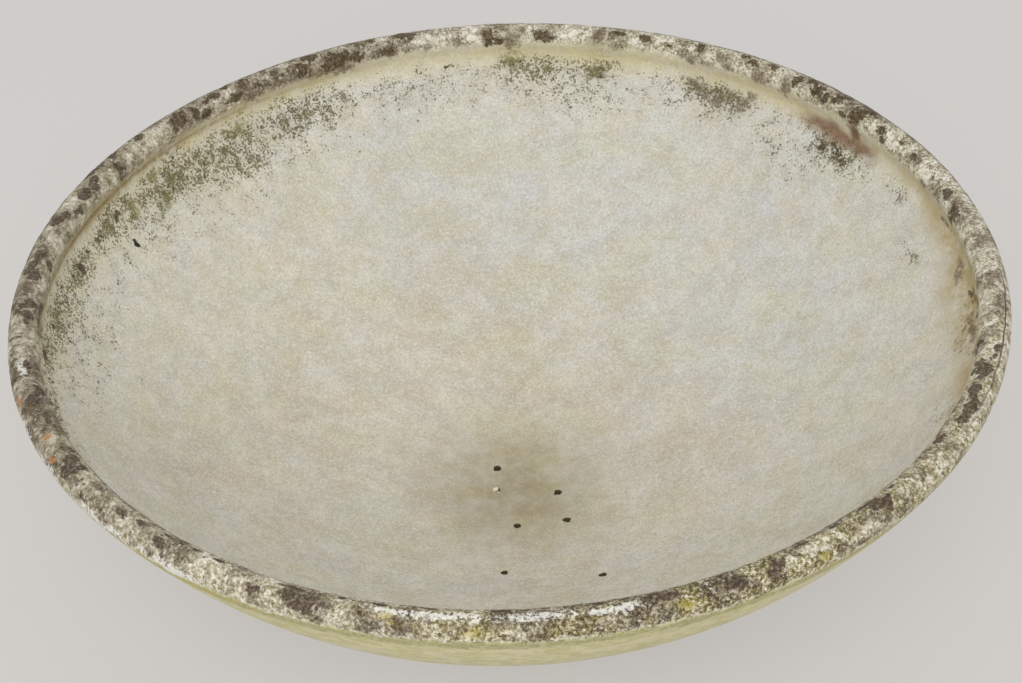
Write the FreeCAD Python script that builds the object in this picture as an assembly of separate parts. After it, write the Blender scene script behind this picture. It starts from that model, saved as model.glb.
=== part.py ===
import FreeCAD, Part
import math
import os

# A wide round planter bowl of fibre cement, standing loose on a ring foot.
# Millimetres, +Z up. The origin is on the floor, on the axis of the bowl.

# Bowl
rim_diameter = 1000.0        # over the rolled rim
roll_diameter = 32.0         # thickness of the full-round roll
bowl_depth = 320.0           # top of the roll down to the underside of the bowl
wall = 14.0                  # thickness of the moulded shell
hollow_radius = 10.0         # soft hollow where the roll meets the inside of the wall
underside_height = 20.0      # floor up to the underside of the bowl

# Drain holes, drilled by hand square to the wall: places in plan, from the axis
drain_diameter = 7.5
drain_places = [
    (-20.0, 31.0),
    (-21.0, -4.0),
    (46.0, -13.0),
    (54.0, -61.0),
    (0.0, -65.0),
    (-16.0, -153.0),
    (85.0, -175.0),
]

# Foot
foot_base_diameter = 440.0   # outside, on the floor
foot_lean = 15.0             # how far the ring's wall leans out from the floor to the seat
foot_wall = 16.0
foot_edge_radius = 4.0       # rounding of the ring's four edges
edge_share = 0.4             # the most of a side that one rounding may take
seat_clearance = 0.3         # between the seat and the underside of the bowl
notch_radius = 12.0          # half-round weep notches in the base
notch_count = 4

cut_overrun = 10.0           # how far a drill or cutter runs past the face it leaves

# The roll is a circle in section. The outside of the bowl is a sphere that runs into it as a tangent.
roll_radius = roll_diameter / 2
roll_centre_r = rim_diameter / 2 - roll_radius
outer_radius = (
    (roll_centre_r**2 + (bowl_depth - roll_radius)**2 - roll_radius**2)
    / (2 * (bowl_depth - roll_diameter))
)
inner_radius = outer_radius - wall

sphere_z = underside_height + outer_radius
rim_z = underside_height + bowl_depth
roll_z = rim_z - roll_radius

origin = FreeCAD.Vector(0, 0, 0)
up = FreeCAD.Vector(0, 0, 1)
sphere_centre = FreeCAD.Vector(0, 0, sphere_z)
roll_centre = FreeCAD.Vector(roll_centre_r, 0, roll_z)

# The foot's base and its seat, which is a cone that follows the bowl at the middle of the ring's wall
base_r = foot_base_diameter / 2
top_r = base_r + foot_lean
seat_r = top_r - foot_wall / 2
seat_drop = math.sqrt((outer_radius + seat_clearance)**2 - seat_r**2)
seat_z = sphere_z - seat_drop
seat_slope = seat_r / seat_drop


def arc(centre, radius, start, end, through):
    """An arc about centre from start to end, on the side of the direction through."""
    middle = centre + through * (radius / through.Length)
    return Part.Arc(start, middle, end).toShape()


def line(start, end):
    return Part.LineSegment(start, end).toShape()


def revolved(edges):
    """A closed section in the XZ plane, turned about the bowl's axis."""
    return Part.Face(Part.Wire(edges)).revolve(origin, up, 360)


def sphere_point(radius, r):
    """The point of the lower half of a sphere about the bowl's centre, at distance r from the axis."""
    return FreeCAD.Vector(r, 0, sphere_z - math.sqrt(radius**2 - r**2))


# Directions in the section: along from the sphere's centre to the roll's, and across it, upwards
to_roll = roll_centre - sphere_centre
along = to_roll / to_roll.Length
across = FreeCAD.Vector(-along.z, 0, along.x)


def crossing(sphere_r, roll_r, side):
    """Where a circle about the sphere's centre crosses one about the roll's: side 1 above, side -1 below."""
    reach = (sphere_r**2 - roll_r**2 + to_roll.Length**2) / (2 * to_roll.Length)
    return sphere_centre + along * reach + across * (side * math.sqrt(sphere_r**2 - reach**2))


# The roll's edges on the shell: the tangent outside, the seam on top, and the hollow's two ends inside
tangent_point = sphere_centre + along * outer_radius
seam = crossing(inner_radius, roll_radius, 1)
hollow_centre = crossing(inner_radius - hollow_radius, roll_radius + hollow_radius, -1)
roll_end = roll_centre + (hollow_centre - roll_centre) * (roll_radius / (roll_radius + hollow_radius))
wall_end = sphere_centre + (hollow_centre - sphere_centre) * (inner_radius / (inner_radius - hollow_radius))


def drain_drill(x, y):
    """A drill through the wall, square to it, at one place in plan."""
    depth = math.sqrt(inner_radius**2 - x**2 - y**2)
    square = FreeCAD.Vector(x, y, -depth) / inner_radius
    start = sphere_centre + square * (inner_radius - cut_overrun)
    return Part.makeCylinder(drain_diameter / 2, wall + 2 * cut_overrun, start, square)


def make_bowl_shell():
    """The even spherical wall. Its top edge is the outer part of the roll, from the wall to the seam."""
    bottom_outside = sphere_point(outer_radius, 0)
    bottom_inside = sphere_point(inner_radius, 0)
    outside_middle = sphere_point(outer_radius, tangent_point.x / 2) - sphere_centre
    inside_middle = sphere_point(inner_radius, seam.x / 2) - sphere_centre
    edge_middle = (seam - roll_centre) + (tangent_point - roll_centre)
    shell = revolved([
        arc(sphere_centre, outer_radius, bottom_outside, tangent_point, outside_middle),
        arc(roll_centre, roll_radius, tangent_point, seam, edge_middle),
        arc(sphere_centre, inner_radius, seam, bottom_inside, inside_middle),
        line(bottom_inside, bottom_outside),
    ])
    return shell.cut(Part.makeCompound([drain_drill(x, y) for x, y in drain_places]))


def make_rim_roll():
    """The rest of the roll: the strip bonded to the shell's inner face, from the hollow over to the seam."""
    hollow_middle = (roll_end - hollow_centre) + (wall_end - hollow_centre)
    return revolved([
        arc(roll_centre, roll_radius, seam, roll_end, -along),
        arc(hollow_centre, hollow_radius, roll_end, wall_end, hollow_middle),
        arc(sphere_centre, inner_radius, wall_end, seam, along),
    ])


def rounded_section(corners, radius):
    """The edges of a straight-sided section, each corner rounded as far as its two sides allow."""
    edges = []
    last_end = None
    for number, corner in enumerate(corners):
        back = corners[number - 1] - corner
        ahead = corners[(number + 1) % len(corners)] - corner
        half_angle = back.getAngle(ahead) / 2
        room = edge_share * min(back.Length, ahead.Length)
        reach = min(radius / math.tan(half_angle), room)
        start = corner + back * (reach / back.Length)
        end = corner + ahead * (reach / ahead.Length)
        inward = back / back.Length + ahead / ahead.Length
        centre = corner + inward * (reach / math.cos(half_angle) / inward.Length)
        if last_end is None:
            first_start = start
        else:
            edges.append(line(last_end, start))
        edges.append(arc(centre, reach * math.tan(half_angle), start, end, -inward))
        last_end = end
    edges.append(line(last_end, first_start))
    return edges


def weep_notch(number):
    """A half-round cutter lying on the floor, pointing out from the axis."""
    angle = 2 * math.pi * number / notch_count
    outward = FreeCAD.Vector(math.cos(angle), math.sin(angle), 0)
    start_r = base_r - foot_wall - cut_overrun
    length = foot_wall + foot_lean + 2 * cut_overrun
    return Part.makeCylinder(notch_radius, length, outward * start_r, outward)


def make_foot_ring():
    """A ring that leans out to the seat that the bowl lies on, with notches that let water out."""
    seat_rise = seat_slope * foot_wall / 2
    ring = revolved(rounded_section(
        [
            FreeCAD.Vector(base_r - foot_wall, 0, 0),
            FreeCAD.Vector(base_r, 0, 0),
            FreeCAD.Vector(top_r, 0, seat_z + seat_rise),
            FreeCAD.Vector(top_r - foot_wall, 0, seat_z - seat_rise),
        ],
        foot_edge_radius,
    ))
    return ring.cut(Part.makeCompound([weep_notch(number) for number in range(notch_count)]))


pieces = {
    "bowl_shell": make_bowl_shell(),
    "rim_roll": make_rim_roll(),
    "foot_ring": make_foot_ring(),
}

os.makedirs("parts", exist_ok=True)
for name, shape in pieces.items():
    shape.exportStep("parts/" + name + ".step")
    print(name, "solids", len(shape.Solids), "valid", shape.isValid(), "litres", round(shape.Volume / 1e6, 3))
print("rim height", round(rim_z, 2), "seat height", round(seat_z, 2), "sphere radius", round(outer_radius, 2))
print("seam r", round(seam.x, 2), "hollow ends r", round(roll_end.x, 2), round(wall_end.x, 2))
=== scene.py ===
import math
from itertools import product

import bmesh
import bpy
import numpy as np
from mathutils import Matrix, Vector


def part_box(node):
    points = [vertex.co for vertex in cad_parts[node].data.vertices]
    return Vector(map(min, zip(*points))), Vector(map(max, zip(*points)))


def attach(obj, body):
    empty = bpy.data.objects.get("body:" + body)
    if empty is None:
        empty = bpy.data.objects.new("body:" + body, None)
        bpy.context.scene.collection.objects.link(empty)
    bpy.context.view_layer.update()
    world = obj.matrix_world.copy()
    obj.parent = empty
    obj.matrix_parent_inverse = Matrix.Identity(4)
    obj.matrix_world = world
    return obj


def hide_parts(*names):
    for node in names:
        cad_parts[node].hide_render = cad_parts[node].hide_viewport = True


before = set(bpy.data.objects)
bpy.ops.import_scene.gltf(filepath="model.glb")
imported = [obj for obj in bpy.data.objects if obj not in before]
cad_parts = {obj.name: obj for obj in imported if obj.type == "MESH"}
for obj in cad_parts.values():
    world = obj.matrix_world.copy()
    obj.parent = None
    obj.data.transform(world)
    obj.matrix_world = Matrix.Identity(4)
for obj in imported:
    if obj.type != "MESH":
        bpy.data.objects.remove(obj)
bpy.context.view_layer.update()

# A weathered fibre-cement planter bowl: a smooth shell, a lichen-crusted roll and a ring foot.
# Metres, +Z up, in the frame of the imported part. Places on the surface are given as an azimuth in
# degrees (0 towards +X, 90 to the back) and a place, which is a distance in millimetres along the section.

MM = 0.001

# Sizes from the frame
shell_low, shell_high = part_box("bowl_shell")
roll_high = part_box("rim_roll")[1]
RIM_RADIUS = round(shell_high.x, 3)
RIM_Z = round(roll_high.z, 3)
UNDER_Z = round(shell_low.z, 3)

# Sizes that the boxes don't give, as in the solids
ROLL_RADIUS = 16 * MM
WALL = 14 * MM
HOLLOW_RADIUS = 26 * MM  # wider than in the solid: dirt and lichen fill the crease
DRAIN_RADIUS = 3.75 * MM
DRAIN_PLACES_MM = [(-20, 31), (-21, -4), (46, -13), (54, -61), (0, -65), (-16, -153), (85, -175)]
CLOGGED_DRAIN = (-21, -4)  # limed up, with pale grit in it
LIMED_SHARE = 0.5  # how much of that hole's width is left
FOOT_BASE_RADIUS = 220 * MM
FOOT_LEAN = 15 * MM
FOOT_WALL = 16 * MM
FOOT_EDGE = 4 * MM
SEAT_CLEARANCE = 0.3 * MM
NOTCH_RADIUS = 12 * MM
NOTCH_COUNT = 4

# The section: the outside is a sphere that runs into the roll's circle as a tangent
ROLL_R = RIM_RADIUS - ROLL_RADIUS
ROLL_Z = RIM_Z - ROLL_RADIUS
DEPTH = RIM_Z - UNDER_Z
OUTER = (ROLL_R**2 + (DEPTH - ROLL_RADIUS)**2 - ROLL_RADIUS**2) / (2 * (DEPTH - 2 * ROLL_RADIUS))
INNER = OUTER - WALL
SPHERE_Z = UNDER_Z + OUTER

SPAN = math.hypot(ROLL_R, SPHERE_Z - ROLL_Z)
ALONG = np.array([ROLL_R, ROLL_Z - SPHERE_Z]) / SPAN
ACROSS = np.array([-ALONG[1], ALONG[0]])
SPHERE = np.array([0.0, SPHERE_Z])
ROLL = np.array([ROLL_R, ROLL_Z])


def crossing(sphere_r, roll_r, side):
    """Where a circle about the sphere's centre crosses one about the roll's: side 1 above, side -1 below."""
    reach = (sphere_r**2 - roll_r**2 + SPAN**2) / (2 * SPAN)
    return SPHERE + ALONG * reach + ACROSS * side * math.sqrt(sphere_r**2 - reach**2)


SEAM = crossing(INNER, ROLL_RADIUS, 1)
CREASE = crossing(INNER, ROLL_RADIUS, -1)
HOLLOW = crossing(INNER - HOLLOW_RADIUS, ROLL_RADIUS + HOLLOW_RADIUS, -1)


def turn_of(point, centre):
    """Angle of a section point about a centre, from outwards over the top, in degrees from -90 to 270."""
    angle = math.degrees(math.atan2(point[1] - centre[1], point[0] - centre[0]))
    return angle if angle > -90 else angle + 360


SEAM_TURN = turn_of(SEAM, ROLL)
CREASE_TURN = turn_of(CREASE, ROLL)
TANGENT_TURN = turn_of(SPHERE + ALONG * OUTER, ROLL)
ROLL_END_TURN = turn_of(HOLLOW, ROLL)
CREASE_TILT = math.atan2(CREASE[0], SPHERE_Z - CREASE[1])
WALL_END_TILT = math.atan2(HOLLOW[0], SPHERE_Z - HOLLOW[1])
TANGENT_TILT = math.atan2(ALONG[0], -ALONG[1])
HOLLOW_START = math.radians(turn_of(ROLL, HOLLOW))
HOLLOW_END = math.atan2(HOLLOW[1] - SPHERE_Z, HOLLOW[0])


def roll_place(turn):
    """The place, in mm, of a turn on the roll: 0 at the crease, less over the roll."""
    return -np.radians(CREASE_TURN - turn) * ROLL_RADIUS / MM


def inner_place(tilt):
    """The place, in mm, of a tilt on the inner wall: 0 at the crease, more down the wall."""
    return (CREASE_TILT - tilt) * INNER / MM


def outer_place(tilt):
    """The place, in mm, of a tilt on the outer wall: less down the wall."""
    return roll_place(TANGENT_TURN) - (TANGENT_TILT - tilt) * OUTER / MM


HASH_STEPS = np.array([374761393, 668265263, 1274126177])


def value_noise(points, size, seed):
    """Smooth noise from -1 to 1 whose features are about size metres across."""
    scaled = points / size + seed * 17.31
    cell = np.floor(scaled).astype(np.int64)
    part = scaled - cell
    weight = part * part * (3 - 2 * part)
    total = np.zeros(len(points))
    for corner in product((0, 1), repeat=3):
        mixed = (cell + np.array(corner)) @ HASH_STEPS + seed * 974711
        mixed = mixed & 0x7FFFFFFF
        mixed = ((mixed ^ (mixed >> 13)) * 1103515245) & 0x7FFFFFFF
        mixed = (mixed ^ (mixed >> 15)) & 0xFFFF
        total += np.where(corner, weight, 1 - weight).prod(axis=1) * mixed
    return total / 32767.5 - 1


def smooth(low, high, value):
    """0 below low, 1 above high, and an even rise between them."""
    part = np.clip((value - low) / (high - low), 0, 1)
    return part * part * (3 - 2 * part)


# Meshes turned about the axis

def ring_faces(first, first_count, second, second_count):
    """Faces between two rings of vertices. The counts are equal, or one is a whole multiple of the other."""
    if first_count < second_count:
        return [face[::-1] for face in ring_faces(second, second_count, first, first_count)]
    if second_count == 1:
        return [[first + k, first + (k + 1) % first_count, second] for k in range(first_count)]
    ratio = first_count // second_count
    faces = []
    for k in range(second_count):
        fine = [first + (k * ratio + step) % first_count for step in range(ratio + 1)]
        faces.append(fine + [second + (k + 1) % second_count, second + k])
    return faces


def turned(name, rings, closed):
    """A mesh of rings about the axis. Each ring is (r, z, vertex count)."""
    vertices = []
    starts = []
    for r, z, count in rings:
        starts.append(len(vertices))
        angles = 2 * math.pi * np.arange(count) / count
        vertices.extend(np.column_stack([r * np.cos(angles), r * np.sin(angles), np.full(count, z)]))
    order = list(range(len(rings))) + ([0] if closed else [])
    faces = []
    for a, b in zip(order, order[1:]):
        faces.extend(ring_faces(starts[a], rings[a][2], starts[b], rings[b][2]))
    mesh = bpy.data.meshes.new(name)
    mesh.from_pydata(vertices, [], faces)
    face_outwards(mesh)
    return mesh


def face_outwards(mesh):
    work = bmesh.new()
    work.from_mesh(mesh)
    bmesh.ops.recalc_face_normals(work, faces=work.faces)
    work.to_mesh(mesh)
    work.free()


def finished(name, work):
    """The mesh of a bmesh, which is freed."""
    mesh = bpy.data.meshes.new(name)
    work.to_mesh(mesh)
    work.free()
    return mesh


def add_object(name, data):
    made = bpy.data.objects.new(name, data)
    bpy.context.scene.collection.objects.link(made)
    return made


def cut(mesh, cutter_mesh):
    """The mesh with the cutter taken away."""
    body = add_object("body", mesh)
    cutter = add_object("cutter", cutter_mesh)
    modifier = body.modifiers.new("cut", "BOOLEAN")
    modifier.operation = "DIFFERENCE"
    modifier.solver = "EXACT"
    modifier.object = cutter
    bpy.context.view_layer.update()
    result = bpy.data.meshes.new_from_object(body.evaluated_get(bpy.context.evaluated_depsgraph_get()))
    result.name = mesh.name
    for made in (body, cutter):
        bpy.data.objects.remove(made)
    return result


def vertex_vectors(mesh, name):
    flat = np.zeros(len(mesh.vertices) * 3)
    mesh.vertices.foreach_get(name, flat)
    return flat.reshape(-1, 3)


def set_coordinates(mesh, points):
    mesh.vertices.foreach_set("co", points.ravel())
    mesh.update()


def set_masks(mesh, masks):
    for name, values in masks.items():
        mesh.attributes.new(name, "FLOAT", "POINT").data.foreach_set("value", values.astype(np.float32))


# Section rings, and how finely they divide the surface

RIM_COLUMNS = 1920  # vertices around the rim
BAND_COLUMNS = 960  # and around the bands of the wall next to it
LIP_ROWS = 10
ROLL_ROWS = 34
HOLLOW_ROWS = 12
UNDER_ROLL = 3 * MM  # how far the inner face runs on under the roll
BACK_ROWS = 4  # of the roll's hidden back
BACK_COLUMNS = 480
BACK_DEPTH = 2.5 * MM  # how deep that back lies in the shell
BACK_MARGIN = 0.06  # how far it stays from the roll's edges, as a share of its width
FOOT_COLUMNS = 480
FOOT_ROW = 4 * MM  # between the foot's rings
EDGE_STEPS = 5  # on each of its rounded edges
NOTCH_SIDES = 40


def sphere_ring(radius, tilt, count):
    return (radius * math.sin(tilt), SPHERE_Z - radius * math.cos(tilt), count)


def arc_rings(centre, radius, start, end, rows):
    """Rings around the rim on a circle of the section, from one angle to another, without the last."""
    rings = []
    for k in range(rows):
        angle = start + (end - start) * k / rows
        r, z = centre + radius * np.array([math.cos(angle), math.sin(angle)])
        rings.append((r, z, RIM_COLUMNS))
    return rings


def sphere_rings(radius, zones):
    """Rings on a sphere. A zone is a vertex count, two tilts that it runs between and the step in mm."""
    rings = []
    for count, start, end, step in zones:
        number = max(1, round(abs(end - start) * radius / (step * MM)))
        for k in range(number):
            rings.append(sphere_ring(radius, start + (end - start) * k / number, count))
    return rings


def shell_mesh():
    """The shell before weathering: inner face from the middle out, lip, and outer face back to the middle."""
    near, low, middle = (math.asin(r * MM / INNER) for r in (30, 120, 240))
    band = CREASE_TILT - 120 * MM / INNER
    under_roll = WALL_END_TILT + UNDER_ROLL / INNER
    upper = TANGENT_TILT - 80 * MM / OUTER
    rings = [sphere_ring(INNER, 0, 1)]
    rings += sphere_rings(INNER, [
        (60, 7.5 * MM / INNER, near, 7.5),
        (120, near, low, 6),
        (240, low, middle, 7),
        (480, middle, band, 7),
        (BAND_COLUMNS, band, under_roll, 4),
    ])
    rings.append(sphere_ring(INNER, under_roll, BAND_COLUMNS))
    rings += arc_rings(ROLL, ROLL_RADIUS, math.radians(SEAM_TURN), math.radians(TANGENT_TURN), LIP_ROWS)
    rings += sphere_rings(OUTER, [
        (BAND_COLUMNS, TANGENT_TILT, upper, 6),
        (480, upper, middle, 9),
        (240, middle, low, 9),
        (120, low, near, 9),
        (60, near, 9 * MM / OUTER, 9),
    ])
    rings.append(sphere_ring(OUTER, 0, 1))
    return turned("shell", rings, closed=False)


# A drill's outline: depth in mm below the inner face, and width as a share of the hole's
DRILL_LEVELS = [(-6, 1.75), (-0.9, 1.45), (0.2, 1.12), (1.6, 1.0), (8, 0.97), (13.2, 1.0), (20, 1.12)]
DRILL_SIDES = 22
MOUTH_DEPTH = 1.0  # in mm; lime narrows a hole below this
CHIPPING = 0.5  # how unevenly the mouth is chipped
ROUGHNESS = 0.1925  # how far the hole's width wavers, as a share of it


def drill_mesh(rng):
    """Rough hand-drilled holes, chipped wider where the drill went in."""
    work = bmesh.new()
    for x, y in DRAIN_PLACES_MM:
        place = Vector((x * MM, y * MM, -math.sqrt(INNER**2 - (x * MM)**2 - (y * MM)**2)))
        square = place.normalized()
        side = square.orthogonal().normalized()
        other = square.cross(side)
        wavering = np.tile(rng.standard_normal(DRILL_SIDES), 2)
        rough = 1 + ROUGHNESS * np.convolve(wavering, np.full(3, 1 / 3), "same")[1:DRILL_SIDES + 1]
        chip = 1 + CHIPPING * np.clip(rng.standard_normal(DRILL_SIDES), -0.8, 1.5)
        limed = LIMED_SHARE if (x, y) == CLOGGED_DRAIN else 1.0
        rows = []
        for depth, wide in DRILL_LEVELS:
            if depth > MOUTH_DEPTH:
                wide *= limed
            row = []
            for k in range(DRILL_SIDES):
                angle = 2 * math.pi * k / DRILL_SIDES
                r = DRAIN_RADIUS * (1 + (wide - 1) * chip[k]) * rough[k]
                spot = place + square * depth * MM + (side * math.cos(angle) + other * math.sin(angle)) * r
                row.append(work.verts.new(spot + Vector((0, 0, SPHERE_Z))))
            rows.append(row)
        for above, below in zip(rows, rows[1:]):
            for k in range(DRILL_SIDES):
                after = (k + 1) % DRILL_SIDES
                work.faces.new([above[k], above[after], below[after], below[k]])
        work.faces.new(rows[0])
        work.faces.new(rows[-1])
    bmesh.ops.recalc_face_normals(work, faces=work.faces)
    return finished("drill", work)


def roll_mesh():
    """The roll before weathering: over the top, down the hollow to the wall, and back inside the shell."""
    rings = arc_rings(ROLL, ROLL_RADIUS, math.radians(SEAM_TURN), math.radians(ROLL_END_TURN), ROLL_ROWS)
    rings += arc_rings(HOLLOW, HOLLOW_RADIUS, HOLLOW_START, HOLLOW_END, HOLLOW_ROWS)
    rings.append(sphere_ring(INNER, WALL_END_TILT, RIM_COLUMNS))
    seam_tilt = math.atan2(SEAM[0], SPHERE_Z - SEAM[1])
    for k in range(BACK_ROWS):
        share = BACK_MARGIN + (1 - 2 * BACK_MARGIN) * k / (BACK_ROWS - 1)
        tilt = WALL_END_TILT + (seam_tilt - WALL_END_TILT) * share
        rings.append(sphere_ring(INNER + BACK_DEPTH, tilt, BACK_COLUMNS))
    return turned("roll", rings, closed=True)


def rounded(corners, radius, steps):
    """Points of a straight-sided section with its corners rounded, as (r, z) pairs."""
    points = []
    for number, corner in enumerate(corners):
        back = corners[number - 1] - corner
        ahead = corners[(number + 1) % len(corners)] - corner
        half = back.angle(ahead) / 2
        centre = corner + (back.normalized() + ahead.normalized()).normalized() * radius / math.sin(half)
        start = corner + back.normalized() * radius / math.tan(half) - centre
        end = corner + ahead.normalized() * radius / math.tan(half) - centre
        for k in range(steps + 1):
            points.append(centre + start.slerp(end, k / steps) * radius)
    return points


def foot_mesh():
    """The ring before weathering, with its notches cut."""
    base_r = FOOT_BASE_RADIUS
    top_r = base_r + FOOT_LEAN
    seat_r = top_r - FOOT_WALL / 2
    seat_drop = math.sqrt((OUTER + SEAT_CLEARANCE)**2 - seat_r**2)
    seat_rise = seat_r / seat_drop * FOOT_WALL / 2
    seat_z = SPHERE_Z - seat_drop
    section = rounded([
        Vector((base_r - FOOT_WALL, 0)),
        Vector((base_r, 0)),
        Vector((top_r, seat_z + seat_rise)),
        Vector((top_r - FOOT_WALL, seat_z - seat_rise)),
    ], FOOT_EDGE, EDGE_STEPS)
    rings = []
    for a, b in zip(section, section[1:] + section[:1]):
        steps = max(1, round((b - a).length / FOOT_ROW))
        for k in range(steps):
            spot = a.lerp(b, k / steps)
            rings.append((spot.x, spot.y, FOOT_COLUMNS))
    ring = turned("foot", rings, closed=True)
    work = bmesh.new()
    for number in range(NOTCH_COUNT):
        angle = 2 * math.pi * number / NOTCH_COUNT
        outward = Vector((math.cos(angle), math.sin(angle), 0))
        place = Matrix.Translation(outward * (base_r - FOOT_WALL / 2))
        lie = outward.to_track_quat("Z", "Y").to_matrix().to_4x4()
        bmesh.ops.create_cone(
            work, cap_ends=True, segments=NOTCH_SIDES, radius1=NOTCH_RADIUS, radius2=NOTCH_RADIUS,
            depth=4 * FOOT_WALL, matrix=place @ lie,
        )
    return cut(ring, finished("notches", work))


# Weathering: where things are on the surface

class Surface:
    """The vertices of an unweathered mesh with their places on the section."""

    def __init__(self, mesh):
        self.points = vertex_vectors(mesh, "co")
        x, y, z = self.points.T
        self.r = np.hypot(x, y)
        self.azimuth = np.degrees(np.arctan2(y, x)) % 360
        section = np.column_stack([self.r, z])
        from_sphere, from_roll, from_hollow = (section - centre for centre in (SPHERE, ROLL, HOLLOW))
        reach, roll_reach, hollow_reach = (np.hypot(*off.T) for off in (from_sphere, from_roll, from_hollow))
        tilt = np.arctan2(self.r, SPHERE_Z - z)
        turn = np.degrees(np.arctan2(from_roll[:, 1], from_roll[:, 0]))
        self.turn = np.where(turn < -90, turn + 360, turn)
        near = 0.05 * MM
        self.on_roll = (abs(roll_reach - ROLL_RADIUS) < near) & (self.turn >= TANGENT_TURN - 0.01)
        self.on_hollow = (abs(hollow_reach - HOLLOW_RADIUS) < near) & (self.turn > ROLL_END_TURN)
        self.on_hollow &= ~self.on_roll
        self.on_inner = (abs(reach - INNER) < near) & ~self.on_roll & ~self.on_hollow
        self.on_outer = (abs(reach - OUTER) < near) & (tilt <= TANGENT_TILT + 1e-6) & ~self.on_roll
        hollow_turn = np.arctan2(from_hollow[:, 1], from_hollow[:, 0])
        self.hollow_part = np.clip((HOLLOW_START - hollow_turn) / (HOLLOW_START - HOLLOW_END), 0, 1)
        hollow_place = roll_place(ROLL_END_TURN) * (1 - self.hollow_part)
        hollow_place += inner_place(WALL_END_TILT) * self.hollow_part
        self.place = np.zeros(len(z))
        facing = np.zeros_like(section)
        for where, off, place in (
            (self.on_inner, -from_sphere, inner_place(tilt)),
            (self.on_outer, from_sphere, outer_place(tilt)),
            (self.on_hollow, -from_hollow, hollow_place),
            (self.on_roll, from_roll, roll_place(self.turn)),
        ):
            facing[where] = off[where]
            self.place[where] = place[where]
        facing /= np.maximum(np.linalg.norm(facing, axis=1), 1e-9)[:, None]
        outward = np.column_stack([x, y]) / np.maximum(self.r, 1e-9)[:, None]
        self.normal = np.column_stack([outward * facing[:, :1], facing[:, 1]])
        self.shift_long = self.wander(31)
        self.shift_wide = self.wander(33)

    def wander(self, seed):
        """How far, in mm, the edge of a patch strays to one side."""
        return 4 * value_noise(self.points, 14 * MM, seed) + 1.8 * value_noise(self.points, 5 * MM, seed + 1)

    def patches(self, spots, straying=1.0):
        """1 in the middle of each spot, about half at its edge, less outside."""
        mask = np.zeros(len(self.points))
        for azimuth, place, half_long, half_wide in spots:
            along = np.radians((self.azimuth - azimuth + 180) % 360 - 180) * self.r / MM
            near = np.flatnonzero(abs(along) < 2.4 * half_long + 8)
            stray = straying * min(1.0, half_wide / 6)
            distance = np.hypot(
                (along[near] + stray * self.shift_long[near]) / half_long,
                (self.place[near] - place + stray * self.shift_wide[near]) / half_wide,
            )
            mask[near] = np.maximum(mask[near], np.exp(-0.7 * distance**2))
        return mask

    def around(self, keys):
        """A value that changes evenly with azimuth between given keys."""
        angles, values = zip(*keys)
        return np.interp(self.azimuth, angles, values, period=360)

    def plan(self, blots):
        """1 in the middle of each blot, and softly less around it."""
        mask = np.zeros(len(self.points))
        for x, y, radius in blots:
            distance = np.hypot(self.points[:, 0] - x * MM, self.points[:, 1] - y * MM) / MM
            mask = np.maximum(mask, np.exp(-1.6 * (distance / radius)**2))
        return mask


# A spot is an azimuth, a place, a half length along the rim and a half width across it, in mm.
# SPOTS holds those that make up a mask by themselves, by its name.
SPOTS = {}

# Dark lichens on the roll: at the back, on the right, at the front, on the left
LICHENS = [
    (119, -28, 7, 8), (114.5, -30, 14, 10), (112.5, -30, 8, 7), (110.5, -26, 7, 6), (117.5, -40, 9, 5),
    (106.5, -25, 8, 5), (108.2, -43, 5, 4), (103.5, -42, 11, 7), (91.2, -27, 8, 9), (89.8, -21, 4, 4),
    (83.3, -27, 11, 6), (72.8, -38, 9, 4), (68.5, -36, 7, 5), (65, -32, 5, 3), (60, -38, 6, 6),
    (52, -37, 8, 4), (53.3, -43, 6, 3), (48.7, -42, 8, 4), (44.2, -36, 7, 7), (41, -36, 9, 8),
    (42.3, -43, 5, 4), (39.6, -32, 6, 7), (37.5, -38, 8, 5), (36.5, -44, 6, 3), (33, -31, 11, 9),
    (31.5, -43, 7, 4), (35.3, -23, 7, 3), (28.3, -30, 5, 6), (27.3, -25, 5, 4), (24.2, -36, 4, 2),
    (21, -33, 5, 4), (8.3, -28, 10, 9), (11.8, -34, 9, 7),
    (341.5, -26, 9, 5), (337, -35, 10, 6), (336, -43, 14, 5), (333, -41, 16, 5), (330, -44, 12, 6),
    (327, -46, 10, 5), (323, -37, 8, 4), (340, -49, 10, 3), (311, -48, 9, 7), (310, -43, 8, 4),
    (296.3, -50, 8, 9), (295.5, -56, 6, 7), (291.5, -54, 10, 6), (284.5, -44, 12, 4), (282.5, -44, 7, 4),
    (248.5, -52, 16, 8), (246.7, -45, 9, 7), (243, -52, 6, 5), (231, -50, 10, 5), (224.5, -46, 7, 4),
    (227.5, -43, 5, 3), (215.2, -47, 12, 9), (214, -40, 8, 4), (206.5, -42, 7, 6), (202.2, -41, 9, 6),
    (200.5, -36, 8, 5), (195.6, -40, 6, 4), (190.2, -51, 3, 7), (186.5, -41, 10, 7), (184, -42, 7, 9),
    (185, -51, 8, 4), (177, -44, 10, 7), (178.5, -40, 6, 5), (174.5, -41, 9, 8), (175.2, -29, 7, 4),
    (166.6, -44, 7, 7), (165, -39, 6, 6), (163.5, -30, 9, 5), (160.5, -38, 6, 6), (158.7, -36, 8, 6),
    (157, -40, 6, 4), (153, -32, 5, 8), (151.5, -47, 6, 5), (156, -50, 10, 5), (146.5, -45, 6, 4),
    (140.7, -32, 10, 8), (139.2, -37, 6, 7), (137.3, -33, 7, 9), (135.7, -24, 8, 6), (133.5, -41, 8, 4),
    (134.5, -38, 6, 4), (130.7, -27, 9, 5), (128.4, -38, 7, 6), (131, -46, 8, 3),
]

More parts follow.
